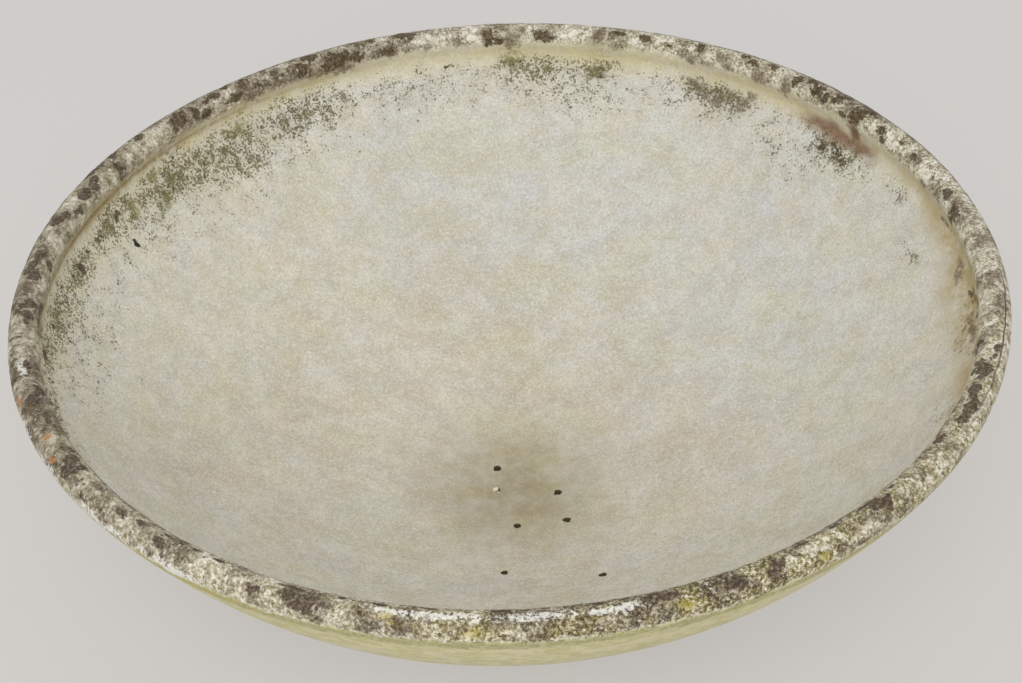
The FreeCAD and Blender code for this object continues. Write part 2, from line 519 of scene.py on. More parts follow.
# Brown lichens and soft brown patches, on the roll and on the wall below it
SPOTS["brown"] = [
    (50.5, -24, 8, 12), (46, -22, 7, 13), (33, -20, 9, 22), (41, -37, 9, 8), (88, -22, 7, 14),
    (116.5, -19, 16, 8), (113, -14, 14, 7), (87.5, -20, 7, 9), (86.5, -35, 5, 5), (75.5, -30, 6, 6),
    (61.2, -16, 6, 6), (57, -33, 6, 6), (50, -22, 10, 7), (45.7, -21, 8, 8), (32.8, -18, 5, 9),
    (17.5, -17, 7, 4), (9.5, -40, 8, 4), (6.2, -31, 5, 6), (354, -22, 8, 4), (271.5, -66, 6, 5),
    (219.5, -42, 10, 3), (208.5, -36, 9, 5), (203.5, -48, 8, 5), (197, -32, 12, 3), (188, -35, 7, 5),
    (180.5, -47, 7, 4), (142.7, -50, 12, 7), (128.3, -25, 9, 12), (123.3, -22, 9, 9), (127, -15, 8, 6),
    (134.5, 37, 5, 5), (114, 31, 6, 8), (58, 24, 17, 8), (54.5, 22, 13, 7), (56.5, 31, 11, 7),
    (51, 15, 9, 6), (191.5, 8, 12, 5), (184, 3, 14, 4), (355.5, 8, 18, 4), (351, 22, 20, 6),
    (59.5, 18, 14, 7), (53, 27, 10, 7), (346.5, 15, 9, 6), (3, 13, 10, 5), (2, 24, 9, 5),
    (10.8, 1, 13, 3),
]
# Olive-brown smudges at the front
SPOTS["smudge"] = [
    (268, -52, 10, 5), (273.8, -53, 8, 8), (276.8, -50, 11, 6), (280.5, -54, 12, 6), (285, -56, 10, 6),
    (264.5, -55, 9, 4), (289, -50, 10, 6), (258, -56, 9, 5), (254, -52, 7, 4), (302, -56, 14, 6),
    (306, -48, 12, 6),
]
# Lichens of other colours
SPOTS["yellow"] = [
    (238, -77, 50, 4), (228, -76, 30, 4), (265.6, -61, 9, 4), (256.7, -54, 5, 5), (286, -58, 6, 4),
    (301.3, -61, 6, 3),
]
SPOTS["orange"] = [(209, -49, 4, 4), (212.3, -57, 5, 3), (201, -59, 6, 2)]
SPOTS["white"] = [
    (262.3, -46.5, 30, 3), (271.8, -47, 25, 3), (279.2, -47.5, 22, 3), (257, -45.5, 16, 2.2),
    (191.8, -61, 7, 4), (196, -47, 12, 3), (233, -68, 26, 4.5), (222, -69, 34, 4.5), (212, -70, 20, 4.5),
    (204, -68, 16, 4),
]
# Where the crust is paler
PALE_PATCHES = [
    (93.5, -34, 18, 8), (79.5, -33, 14, 7), (70, -30, 10, 6), (56, -26, 16, 6), (100, -30, 12, 6),
    (66, -38, 10, 5), (168.3, -47, 10, 6), (162, -47, 12, 5), (171, -33, 10, 6), (181, -33, 14, 6),
    (149.5, -34, 12, 7), (300, -50, 32, 7), (307, -53, 22, 6), (144, -38, 12, 8), (193, -46, 14, 6),
    (199, -52, 12, 6), (26, -28, 14, 6), (17, -26, 14, 6),
]
# Thin olive and yellow haze on the roll's inner side and the wall
SPOTS["haze"] = [
    (74.5, -4, 20, 24), (88, -6, 14, 24), (142, 30, 90, 20), (131, 30, 40, 22), (153, 28, 26, 16),
    (83, 16, 30, 14), (168, 26, 40, 12), (56, 20, 44, 14), (192, 14, 50, 12), (206, 10, 40, 10),
    (178, 24, 46, 12),
]
# Short dark marks along the inner edge of the roll at the front
DASHES = [
    (277.5, -38.5, 8, 2), (268, -38, 9, 2), (261, -37.5, 7, 2), (256, -40, 8, 2), (252, -39, 5, 2),
    (247, -41, 12, 2), (238, -39, 6, 2), (235, -39, 5, 2), (231, -39, 6, 2), (300, -40, 9, 1.6),
    (304, -38, 9, 2), (309, -37, 8, 2), (313, -37, 5, 2), (283, -40, 8, 2),
]

# Inside, below the crease
SPOTS["green"] = [
    (153.2, 29, 7, 11), (147.3, 44, 11, 9), (144, 33, 11, 6), (158.5, 20, 8, 7), (147, 16, 10, 6),
    (131, 21, 13, 8), (75.2, 21, 12, 9), (87.5, 14, 13, 10), (197, 6, 9, 9),
]
WALL_DARKS = [
    (174, 23, 5, 5), (170, 25, 5, 5), (167.5, 28, 8, 5), (164.7, 25, 5, 4), (161.3, 26, 10, 4),
    (156.5, 24, 7, 5), (174, 44, 4, 5), (187, 18, 7, 3), (191.3, 26, 4, 4), (180.5, 24, 5, 3),
    (92.2, 26, 3, 3), (105.2, 23, 5, 3), (97.3, 15, 5, 3), (74.7, 27, 3, 3), (21.3, 29, 3, 2),
    (352, 11, 16, 3), (345, 10, 12, 2.5), (338, 9, 12, 2.5), (357, 15, 9, 3), (35.8, 27, 11, 6),
    (33.6, 35, 8, 7), (37.5, 33, 7, 4),
]
# A warm flush on the wall at the right
SPOTS["blush"] = [
    (8, 16, 50, 13), (356, 16, 40, 12), (352, 28, 50, 20), (341, 26, 50, 16), (1, 28, 40, 18),
    (331, 22, 44, 11),
]
# A rust-brown patch at the back right
SPOTS["rust"] = [(36.5, 11, 44, 14), (31, 11, 24, 14), (39, 12, 24, 12), (33, -5, 10, 13)]
# Where dark specks crowd, and where there are a few
SPECKLED = [
    (140, 33, 130, 28), (133, 60, 45, 16), (121, 30, 60, 24), (158, 24, 50, 20), (170, 27, 60, 14),
    (84, 24, 50, 18), (75, 22, 20, 13), (57, 25, 42, 14), (35.5, 33, 42, 18), (178, 30, 60, 22),
    (186, 22, 40, 14), (198, 20, 44, 14), (205, 22, 36, 11), (213, 15, 50, 9), (222, 12, 44, 7),
]
SPARSELY_SPECKLED = [
    (140, 50, 190, 55), (178, 55, 100, 50), (100, 34, 110, 30), (78, 52, 70, 24), (43, 48, 50, 34),
    (204, 30, 60, 30), (214, 26, 60, 22), (224, 17, 70, 18), (22, 27, 20, 15), (352, 30, 40, 20),
    (338, 58, 30, 18), (13, 63, 24, 10), (60, 30, 80, 26),
]
# Small dark marks: a curled one on the left, and two pits beside the drain holes
CURL = [(156.3, 57.5, 2.2, 2.3), (156.5, 59.6, 2.3, 2.4), (156.6, 61.8, 2.4, 2.4), (156.4, 64, 2.8, 2.4)]
PITS = [(270, 466, 1.8, 1.8), (323, 466, 1.8, 1.8)]

# A key is an azimuth and the value there.

# How strong the ochre, butter-yellow and tan bands under the roll are. The ochre and butter-yellow are pale
# films, lightened further as painted light against the crease's shade
OCHRE_AND_LIGHT_KEYS = [
    (0, 0.6), (20, 0.6), (40, 0.7), (60, 0.8), (75, 0.8), (95, 0.8), (105, 0.7), (118, 0.8), (135, 0.7),
    (148, 0.5), (160, 0.6), (185, 0.6), (200, 0.5), (225, 0.3), (310, 0.3), (340, 0.6), (352, 0.7),
]
BUTTER_AND_LIGHT_KEYS = [
    (0, 0.6), (20, 0.8), (45, 0.8), (60, 0.7), (75, 0.9), (90, 0.6), (100, 0.3), (115, 0.5), (135, 0.7),
    (150, 0.5), (165, 0.2), (200, 0.2), (340, 0.5),
]
TAN_KEYS = [
    (0, 0.75), (12, 0.6), (25, 0.3), (45, 0.4), (60, 0.05), (105, 0.0), (112, 0.4), (125, 0.45),
    (138, 0.4), (148, 0.75), (158, 1.0), (168, 0.9), (180, 0.7), (190, 0.6), (205, 0.5), (225, 0.3),
    (335, 0.4), (348, 0.8),
]
# How far down the wall the ochre, with its painted light, and the tan reach, in mm
OCHRE_AND_LIGHT_ENDS = [(0, 26), (60, 26), (140, 30), (160, 60), (190, 60), (210, 30), (330, 26)]
TAN_ENDS = [(0, 30), (14, 22), (30, 12), (205, 12), (335, 14), (350, 28)]
# How dark the brown line in the crease is, which is partly painted shade in the crease, and how olive and how
# pale the crust
CREASE_LINE_AND_SHADE_KEYS = [(0, 0.1), (20, 0.0), (50, 0.1), (100, 0.0), (125, 0.3), (150, 0.8), (175, 0.7), (200, 0.3)]
OLIVE_KEYS = [
    (0, 0.45), (20, 0.5), (45, 0.35), (65, 0.4), (95, 0.3), (110, 0.1), (150, 0.25), (200, 0.1),
    (230, 0.3), (255, 0.45), (275, 0.8), (300, 0.75), (320, 0.6), (345, 0.5),
]
PALE_KEYS = [
    (5, 0.5), (20, 0.5), (40, 0.25), (60, 0.3), (90, 0.35), (105, 0.15), (115, -0.25), (150, -0.15),
    (180, -0.2), (198, -0.35), (212, -0.35), (230, 0.05), (250, 0.1), (265, -0.15), (290, -0.3),
    (322, 0.15), (335, 0.3), (350, 0.45),
]
# How warm the brown of the dark lichens is, and where the crust is worn soft
WARM_KEYS = [
    (0, 0.3), (25, 0.8), (60, 0.8), (100, 0.8), (120, 0.9), (140, 0.5), (155, 0.0), (280, 0.0),
    (315, 0.4),
]
SOFT_KEYS = [
    (0, 0.4), (20, 0.0), (125, 0.0), (150, 0.8), (210, 0.8), (226, 0.5), (250, 0.35), (298, 0.35),
    (312, 0.8), (345, 0.9),
]
# The dark outer side of the roll at the back, partly dark lichen and partly painted shade where the roll
# turns away from the lamp: how dark, and at which place it starts
EDGE_LICHEN_AND_SHADE_KEYS = [
    (0, 0.0), (15, 0.5), (25, 0.9), (45, 0.9), (60, 0.7), (80, 0.3), (95, 0.1), (108, 0.4), (120, 0.7),
    (140, 0.9), (165, 0.8), (180, 0.4), (195, 0.0),
]
EDGE_PLACES = [(0, -58), (30, -48), (60, -47), (90, -47), (120, -48), (150, -51), (170, -55), (190, -60)]
# How far the seam has opened
CRACK_KEYS = [(322, 0.0), (328, 0.4), (338, 0.8), (342, 1.0), (351, 1.0), (356, 0.5), (360, 0.0)]

# A blot is x, y and a radius in mm, in plan. Grey, beige and stained places on the inside
GREY_BLOTS = [
    (157, 308, 190), (290, 241, 170), (16, 362, 150), (320, 112, 160), (-103, 367, 130),
    (220, 180, 130),
]
BEIGE_BLOTS = [
    (-208, 109, 150), (-83, 255, 110), (-130, 19, 160), (-290, 20, 110), (-345, -97, 80),
    (-229, -110, 80), (50, 83, 130), (178, 1, 130), (122, 139, 100), (42, -96, 120), (-60, 140, 140),
    (-20, 205, 130), (0, -190, 90),
]
DRAIN_CENTRE = (0, -5 * MM)
STAIN_BLOTS = [(0, -5, 110), (10, -10, 75)]

# The places where the crust ends: towards the wall, and outside
CRUST_INNER_KEYS = [
    (0, -17), (45, -17), (75, -19), (100, -18), (120, -14), (150, -11), (190, -12), (225, -20),
    (340, -20),
]
CRUST_OUTER_PLACE = -70.0


def weathering(surface):
    """The named masks of one surface, each a number per vertex."""
    s = surface
    upper = s.on_roll | s.on_hollow
    inside = s.on_inner | upper
    outside = s.on_outer | (s.on_roll & (s.turn < SEAM_TURN))
    hole = ~(inside | s.on_outer)
    strayed = s.place + 0.6 * s.shift_wide
    drop = CRUST_OUTER_PLACE - strayed
    edge_place = s.around(EDGE_PLACES)
    inner_edge = s.around(CRUST_INNER_KEYS)
    ochre_and_light_end = s.around(OCHRE_AND_LIGHT_ENDS)
    tan_end = s.around(TAN_ENDS)
    crust = smooth(inner_edge + 9, inner_edge - 5, strayed) * smooth(5, -4, drop)
    ochre_and_light = smooth(inner_edge - 8, inner_edge + 8, strayed) * smooth(ochre_and_light_end, ochre_and_light_end - 26, strayed)
    tan = smooth(inner_edge - 6, inner_edge + 8, strayed) * smooth(tan_end, tan_end - 16, strayed)
    crowded = np.maximum(s.patches(SPECKLED), 0.4 * s.patches(SPARSELY_SPECKLED))
    below_roll = 0.5 * smooth(-18, -8, s.place) + 0.5 * smooth(-4, 8, s.place)
    return {name: s.patches(spots) for name, spots in SPOTS.items()} | {
        "crust": upper * crust,
        "pale": s.around(PALE_KEYS) + 0.6 * s.patches(PALE_PATCHES),
        "edge_lichen_and_shade": s.on_roll * s.around(EDGE_LICHEN_AND_SHADE_KEYS) * smooth(edge_place + 3, edge_place - 3, strayed),
        "soft": s.around(SOFT_KEYS),
        "warm": s.around(WARM_KEYS),
        "olive": s.around(OLIVE_KEYS),
        "lichen": np.maximum(s.patches(LICHENS) * 1.12, s.patches(WALL_DARKS) * 0.75),
        "dash": s.patches(DASHES, 0.5),
        "mark": s.patches(CURL + PITS, 0.0),
        "specks": crowded * below_roll,
        "ochre_and_light": inside * s.around(OCHRE_AND_LIGHT_KEYS) * ochre_and_light,
        "butter_and_light": inside * s.around(BUTTER_AND_LIGHT_KEYS) * np.exp(-((strayed + 1) / 11)**2),
        "tan": inside * s.around(TAN_KEYS) * tan,
        "crease_line_and_shade": inside * s.around(CREASE_LINE_AND_SHADE_KEYS) * np.exp(-((s.place + 4) / 3.2)**2),
        "crack": s.on_roll * s.around(CRACK_KEYS),
        "off_seam": s.place - roll_place(SEAM_TURN) - 0.3 * s.shift_wide,
        "grey": s.on_inner * s.plan(GREY_BLOTS),
        "beige": s.on_inner * s.plan(BEIGE_BLOTS),
        "stain": s.on_inner * s.plan(STAIN_BLOTS),
        "film": outside * smooth(-3, 5, drop) * (1 - 0.85 * smooth(30, 260, drop)),
        "moss": outside * smooth(-6, 5, drop) * smooth(26, 4, drop),
        "outside": outside * smooth(0, 20, drop),
        "hole": hole.astype(float),
        "grit": (hole & (s.plan([(*CLOGGED_DRAIN, 9)]) > 0.2)).astype(float),
    }


MEAN_WEAR = 0.5  # how far the rim and the outside are worn down on average, in mm
LEAST_WEAR = 0.02  # so that nothing stands proud of the solid there
CRACK_DEPTH = 0.8
CRACK_HALF = 1.7  # half the opened seam's width


def crusted_height(surface, masks):
    """How far the weathered surface stands out from the plain one, in metres. The inner face isn't worn."""
    p = surface.points
    slow = value_noise(p, 150 * MM, 1)
    lumps = value_noise(p, 28 * MM, 2)
    grains = value_noise(p, 9 * MM, 3)
    fine = value_noise(p, 4 * MM, 4)
    rough = masks["crust"]
    height = -MEAN_WEAR + 0.35 * slow + 0.1 * lumps
    height += rough * (-0.35 + 0.2 * slow + 0.35 * lumps + 0.3 * grains + 0.22 * fine)
    height += rough * 0.5 * smooth(0.4, 0.6, masks["lichen"])
    height -= CRACK_DEPTH * masks["crack"] * np.clip(1 - abs(masks["off_seam"]) / CRACK_HALF, 0, 1)
    unworn = MEAN_WEAR * np.where(surface.on_inner, 1.0, surface.hollow_part)
    inner = surface.on_inner | surface.on_hollow
    return np.where(inner, height + unworn, np.minimum(height, -LEAST_WEAR)) * MM


def weather(mesh):
    """Moves the mesh's vertices to the weathered surface and gives it its masks."""
    surface = Surface(mesh)
    masks = weathering(surface)
    height = crusted_height(surface, masks)
    set_coordinates(mesh, surface.points + surface.normal * height[:, None])
    set_masks(mesh, masks)


def weather_foot(mesh):
    """Wears the foot and gives it its masks: more algae and dirt towards the floor."""
    points = vertex_vectors(mesh, "co")
    normals = vertex_vectors(mesh, "normal")
    height = -0.5 + 0.3 * value_noise(points, 60 * MM, 21) + 0.2 * value_noise(points, 14 * MM, 22)
    up = points[:, 2] / MM
    masks = {
        "crust": 0.45 - 0.3 * smooth(5, 50, up),
        "film": 0.55 - 0.3 * smooth(0, 60, up),
        "specks": 0.5 * (1 - smooth(0, 40, up)),
        "outside": np.full(len(points), 0.6),
        "beige": np.full(len(points), 0.6),
    }
    set_coordinates(mesh, points + normals * np.minimum(height, 0)[:, None] * MM)
    set_masks(mesh, masks)


# Materials

def srgb(red, green, blue):
    """A colour written as it looks, 0 to 255, as linear RGBA."""
    levels = [level / 255 for level in (red, green, blue)]
    return tuple(v / 12.92 if v <= 0.04045 else ((v + 0.055) / 1.055)**2.4 for v in levels) + (1.0,)


class Graph:
    """Short calls for building one material's nodes."""

    def __init__(self, name):
        self.material = bpy.data.materials.new(name)
        self.material.use_nodes = True
        self.tree = self.material.node_tree
        self.shader = self.tree.nodes["Principled BSDF"]
        self.coords = self.node("TexCoord").outputs["Object"]

    def put(self, socket, value):
        if isinstance(value, bpy.types.NodeSocket):
            self.tree.links.new(value, socket)
        else:
            socket.default_value = value

    def node(self, kind, inputs=None, **settings):
        """A new node with its settings, and with inputs given by name or number."""
        made = self.tree.nodes.new("ShaderNode" + kind)
        for name, setting in settings.items():
            setattr(made, name, setting)
        for key, value in (inputs or {}).items():
            self.put(made.inputs[key], value)
        return made

    def mask(self, name):
        return self.node("Attribute", attribute_name=name).outputs["Fac"]

    def math(self, operation, first, second=0.0):
        return self.node("Math", {0: first, 1: second}, operation=operation).outputs[0]

    def add(self, first, second):
        return self.math("ADD", first, second)

    def times(self, first, second):
        return self.math("MULTIPLY", first, second)

    def weighted(self, *parts):
        """A sum of values, each times its weight."""
        total, *rest = (self.times(value, weight) for value, weight in parts)
        for part in rest:
            total = self.add(total, part)
        return total

    def between(self, share, first, second):
        """First where the share is 0, second where it is 1."""
        return self.add(first, self.times(share, self.math("SUBTRACT", second, first)))

    def rise(self, value, low, high, top=1.0):
        """0 below low, top above high, smooth between. Low may be the higher one."""
        inputs = {"Value": value, "From Min": low, "From Max": high, "To Max": top}
        return self.node("MapRange", inputs, interpolation_type="SMOOTHSTEP").outputs["Result"]

    def vector(self, operation, first, second=(0, 0, 0), output="Vector"):
        return self.node("VectorMath", {0: first, 1: second}, operation=operation).outputs[output]

    def swept(self, along, across, upward, centre=(0, 0)):
        """Coordinates for streaks about an upright axis: how fast they change around it, out and up."""
        moved = self.vector("SUBTRACT", self.coords, (*centre, 0))
        flat = self.vector("MULTIPLY", moved, (1, 1, 0))
        around = self.vector("MULTIPLY", self.vector("NORMALIZE", flat), (along, along, 0))
        out = self.vector("LENGTH", flat, output="Value")
        up = self.node("SeparateXYZ", {0: moved}).outputs["Z"]
        rest = self.node("CombineXYZ", {"Z": self.weighted((out, across), (up, upward))})
        return self.vector("ADD", around, rest.outputs[0])

    def stretched(self, *speeds):
        """Coordinates for straight strokes: how fast they change along each axis."""
        return self.vector("MULTIPLY", self.coords, speeds)

    def noise(self, scale, detail, roughness=0.55, coords=None):
        """A noise stretched to use the whole range from 0 to 1."""
        inputs = {"Vector": coords or self.coords, "Scale": scale, "Detail": detail, "Roughness": roughness}
        return self.rise(self.node("TexNoise", inputs).outputs["Fac"], 0.3, 0.7)

    def dots(self, scale, density, size, softness):
        """Scattered dots: scale is cells per metre, density from 0 to 1 says how many cells hold one."""
        cells = self.node("TexVoronoi", {"Vector": self.coords, "Scale": scale}).outputs
        chance = self.node("SeparateColor", {0: cells["Color"]}).outputs
        reach = self.times(size, self.add(0.45, self.times(chance["Green"], 0.55)))
        held = self.math("LESS_THAN", chance["Red"], density)
        return self.times(held, self.rise(self.math("SUBTRACT", reach, cells["Distance"]), 0.0, softness))

    def ragged(self, mask, noise, spread, softness):
        """A mask cut at its half value, with an edge that a noise breaks up."""
        shifted = self.add(mask, self.times(self.math("SUBTRACT", noise, 0.5), spread))
        return self.times(self.rise(shifted, 0.5 - softness, 0.5 + softness), self.rise(mask, 0.02, 0.3))

    def mix(self, factor, first, second, blend="MIX"):
        """Two colours mixed. Those that aren't nodes are written as they look, 0 to 255."""
        first, second = (srgb(*c) if isinstance(c, tuple) else c for c in (first, second))
        inputs = {0: factor, 6: first, 7: second}
        return self.node("Mix", inputs, data_type="RGBA", blend_type=blend).outputs[2]

    def two_toned(self, colour, noise, gap, high, low):
        """The colour with one tint where a noise is over its middle by more than the gap, another below."""
        for start, end, (share, tint) in ((0.5 + gap, 1.0, high), (0.5 - gap, 0.0, low)):
            colour = self.mix(self.rise(noise, start, end, share), colour, tint)
        return colour

    def ramp(self, value, stops):
        node = self.node("ValToRGB", {"Fac": value})
        elements = node.color_ramp.elements
        while len(elements) < len(stops):
            elements.new(0.5)
        for element, (position, colour) in zip(elements, stops):
            element.position = position
            element.color = srgb(*colour)
        return node.outputs["Color"]


class CementGraph(Graph):
    """A material's nodes with the noises that its layers share."""

    def __init__(self, name):
        super().__init__(name)
        self.broad = self.noise(5.5, 4)
        self.medium = self.noise(26, 6, 0.62)
        self.mottle = self.noise(75, 5, 0.65)
        self.lumpy = self.noise(115, 2.5, 0.5)
        self.patchy = self.noise(150, 6, 0.72)
        self.fine = self.noise(330, 4, 0.7)
        self.grain = self.noise(760, 3, 0.65)
        self.sweep = self.noise(1.0, 5, 0.66, self.swept(16, 150, 150))
        self.cloud = self.weighted((self.medium, 0.4), (self.broad, 0.3), (self.mottle, 0.3))
        self.flaky = self.weighted((self.patchy, 0.5), (self.fine, 0.5))
        self.broken = self.weighted((self.cloud, 0.5), (self.flaky, 0.5))


def bare_cement(g):
    """The plain surface: clouds, brush strokes and grain, cooler and warmer places, and the drains' stain."""
    m = g.mask
    strokes = g.noise(1.0, 5, 0.65, g.swept(8, 45, 45))
    rays = g.noise(1.0, 5, 0.6, g.swept(4.5, 7, 7, centre=DRAIN_CENTRE))
    brush = g.noise(1.0, 4, 0.6, g.stretched(14, 110, 60))
    hue = g.noise(1.0, 1.5, 0.5, g.stretched(18, 30, 36))
    tint = g.noise(1.0, 1.5, 0.5, g.stretched(11, 16, 20))
    base = g.mix(g.medium, (203, 198, 181), (198, 194, 178))
    base = g.mix(g.times(g.broad, 0.4), base, (205, 202, 189))
    cool = g.add(g.rise(strokes, 0.9, 0.1, 0.55), g.rise(g.patchy, 0.2, 0.9, 0.45))
    base = g.mix(g.times(m("grey"), cool), base, (193, 196, 199))
    warm = g.weighted((strokes, 0.42), (rays, 0.36), (g.broad, 0.1))
    base = g.mix(g.times(m("beige"), warm), base, (170, 151, 124))
    base = g.mix(g.rise(g.add(strokes, g.medium), 1.3, 1.8, 0.16), base, (204, 184, 156))
    for tones in (
        (g.sweep, 0.05, (0.16, (178, 169, 150)), (0.16, (216, 212, 200))),
        (brush, 0.1, (0.18, (174, 164, 144)), (0.15, (214, 208, 196))),
    ):
        base = g.two_toned(base, *tones)
    base = g.mix(g.rise(g.add(g.medium, g.broad), 1.2, 1.8, 0.22), base, (184, 173, 136))
    for tones in (
        (hue, 0.0, (0.32, (203, 186, 151)), (0.3, (190, 195, 189))),
        (tint, 0.0, (0.3, (197, 196, 158)), (0.26, (200, 194, 184))),
        (g.medium, 0.0, (0.38, (180, 172, 152)), (0.36, (214, 211, 201))),
        (g.mottle, 0.05, (0.42, (180, 172, 153)), (0.4, (213, 210, 200))),
        (g.patchy, 0.05, (0.44, (218, 215, 206)), (0.44, (174, 167, 149))),
        (g.fine, 0.05, (0.5, (222, 220, 213)), (0.5, (168, 161, 143))),
        (g.grain, 0.1, (0.42, (228, 225, 216)), (0.42, (156, 148, 130))),
    ):
        base = g.two_toned(base, *tones)
    base = g.mix(m("grey"), base, (250, 252, 255), blend="MULTIPLY")
    soaked = g.weighted((g.cloud, 0.5), (g.fine, 0.25), (g.patchy, 0.25))
    return g.mix(g.times(m("stain"), g.add(0.24, g.times(soaked, 0.62))), base, (124, 106, 42))


def outside_face(g, colour):
    """The outside: runs of dirt, a film of algae that thins downwards, and moss under the roll."""
    m = g.mask
    runs = g.noise(1.0, 5, 0.6, g.swept(40, 5, 4))
    streaked = g.mix(g.rise(runs, 0.4, 0.9, 0.5), colour, (170, 162, 140))
    colour = g.mix(m("outside"), colour, streaked)
    film = g.mix(g.rise(g.mottle, 0.2, 0.8), (186, 180, 130), (206, 199, 158))
    film = g.mix(g.rise(g.medium, 0.4, 0.9, 0.6), film, (210, 202, 174))
    film = g.mix(g.rise(g.sweep, 0.5, 1.0, 0.4), film, (172, 166, 112))
    colour = g.mix(g.times(m("film"), g.rise(g.mottle, -0.5, 0.3, 0.92)), colour, film)
    moss = g.mix(g.fine, (116, 114, 70), (174, 168, 120))
    clumps = g.weighted((g.medium, 0.3), (g.mottle, 0.35), (g.patchy, 0.35))
    return g.mix(g.times(g.ragged(m("moss"), clumps, 2.2, 0.45), 0.75), colour, moss)


def crust(g, colour):
    """The lichen crust on the roll, from dark hollows to pale grains, worn soft or olive in places."""
    m = g.mask
    sharp = g.weighted((g.fine, 0.29), (g.grain, 0.14), (g.patchy, 0.25), (g.mottle, 0.22))
    worn = g.weighted((g.fine, 0.16), (g.grain, 0.1), (g.lumpy, 0.24), (g.mottle, 0.16))
    tone = g.between(m("soft"), sharp, g.add(worn, 0.13))
    tone = g.add(tone, g.weighted((g.medium, 0.2), (m("pale"), 0.22)))
    tone = g.add(tone, g.times(g.math("SUBTRACT", g.fine, 0.45), g.times(m("olive"), 0.4)))
    shade = g.ramp(tone, [
        (0.24, (82, 73, 60)), (0.40, (126, 116, 98)), (0.55, (162, 153, 134)),
        (0.70, (194, 188, 172)), (0.90, (224, 220, 208)),
    ])
    browned = g.times(g.rise(g.mottle, 0.8, 0.3), g.rise(g.medium, 0.7, 0.2, 0.6))
    shade = g.mix(browned, shade, (158, 144, 118), blend="MULTIPLY")
    greened = g.times(g.rise(g.medium, 0.1, 0.7), g.rise(tone, 0.85, 0.5))
    greened = g.times(m("olive"), g.add(0.15, greened))
    shade = g.mix(greened, shade, (196, 188, 118), blend="MULTIPLY")
    smudged = g.times(m("smudge"), g.rise(g.patchy, 0.1, 0.7, 0.85))
    shade = g.mix(smudged, shade, (150, 134, 92), blend="MULTIPLY")
    # Painted shade with dark lichen on the roll's outer side at the back, where it turns away from the lamp
    shade = g.mix(g.times(m("edge_lichen_and_shade"), g.rise(g.patchy, -0.2, 0.6, 0.85)), shade, (74, 68, 58))
    return g.mix(g.ragged(m("crust"), g.patchy, 1.3, 0.25), colour, shade)


def crease(g, colour):
    """What gathers under the roll: ochre, butter-yellow and tan bands, haze, a dark line and a warm flush.
    The ochre and butter-yellow are lightened as painted light against the crease's shade, and the dark line
    is partly painted shade in the crease.
    """
    # Pale ochre and butter-yellow films, lightened past their own colour: painted light in the crease's shade
    ochre_and_light = g.mix(g.flaky, (190, 180, 144), (232, 227, 206))
    butter_and_light = g.mix(g.flaky, (188, 170, 112), (234, 224, 180))
    tan = g.mix(g.flaky, (128, 110, 66), (172, 154, 108))
    for name, noise, low, high, share, tint in (
        ("ochre_and_light", g.cloud, 0.0, 0.5, 0.75, ochre_and_light),
        ("ochre_and_light", g.fine, 0.5, 1.0, 0.4, (150, 138, 98)),
        ("butter_and_light", g.broken, 0.3, 0.65, 0.8, butter_and_light),
        ("butter_and_light", g.fine, 0.45, 0.95, 0.5, (146, 132, 80)),
        ("tan", g.cloud, 0.1, 0.6, 0.85, tan),
        ("haze", g.flaky, 0.2, 0.8, 0.55, (146, 140, 88)),
        # A brown line along the crease, partly painted shade in the crease
        ("crease_line_and_shade", g.patchy, 0.0, 0.6, 0.9, (112, 86, 42)),
        ("blush", g.broken, 0.1, 0.6, 0.9, (170, 149, 104)),
    ):
        colour = g.mix(g.times(g.mask(name), g.rise(noise, low, high, share)), colour, tint)
    return colour


def growths(g, colour):
    """Patches with ragged edges: green, white, yellow and orange lichens, and rust and brown ones."""
    green = g.mix(g.fine, (92, 88, 48), (138, 132, 84))
    rust = g.mix(g.fine, (100, 73, 52), (136, 102, 74))
    brown = g.mix(g.fine, (80, 66, 52), (124, 105, 82))
    for name, noise, spread, softness, share, tint in (
        ("green", g.flaky, 1.3, 0.4, 0.8, green),
        ("white", g.flaky, 2.6, 0.45, 0.75, (222, 220, 213)),
        ("yellow", g.flaky, 1.6, 0.4, 0.45, (178, 164, 78)),
        ("orange", g.flaky, 1.2, 0.35, 0.7, (176, 116, 60)),
        ("rust", g.cloud, 0.5, 0.4, 0.88, rust),
        ("brown", g.patchy, 0.9, 0.3, g.rise(g.grain, 0.0, 0.5, 0.85), brown),
    ):
        colour = g.mix(g.times(g.ragged(g.mask(name), noise, spread, softness), share), colour, tint)
    return colour


def specks(g, colour):
    """Dark specks on the wall: small ones, clots of them and single round spots."""
    m = g.mask
    crowd = g.weighted((m("specks"), 0.55), (g.math("SUBTRACT", g.mottle, 0.5), 0.45))
    crowd = g.times(crowd, g.rise(m("specks"), 0.02, 0.25))
    small = g.rise(g.add(g.noise(390, 3, 0.6), crowd), 0.97, 1.13)
    colour = g.mix(g.times(small, 0.88), colour, g.mix(g.patchy, (62, 56, 35), (116, 107, 74)))
    clots = g.rise(g.add(g.noise(210, 4, 0.65), g.times(crowd, 1.1)), 1.06, 1.24)
    colour = g.mix(g.times(clots, 0.6), colour, (102, 94, 62))
    spots = g.dots(230, g.times(crowd, 0.45), 0.46, 0.15)
    return g.mix(g.times(spots, 0.8), colour, (80, 73, 52))


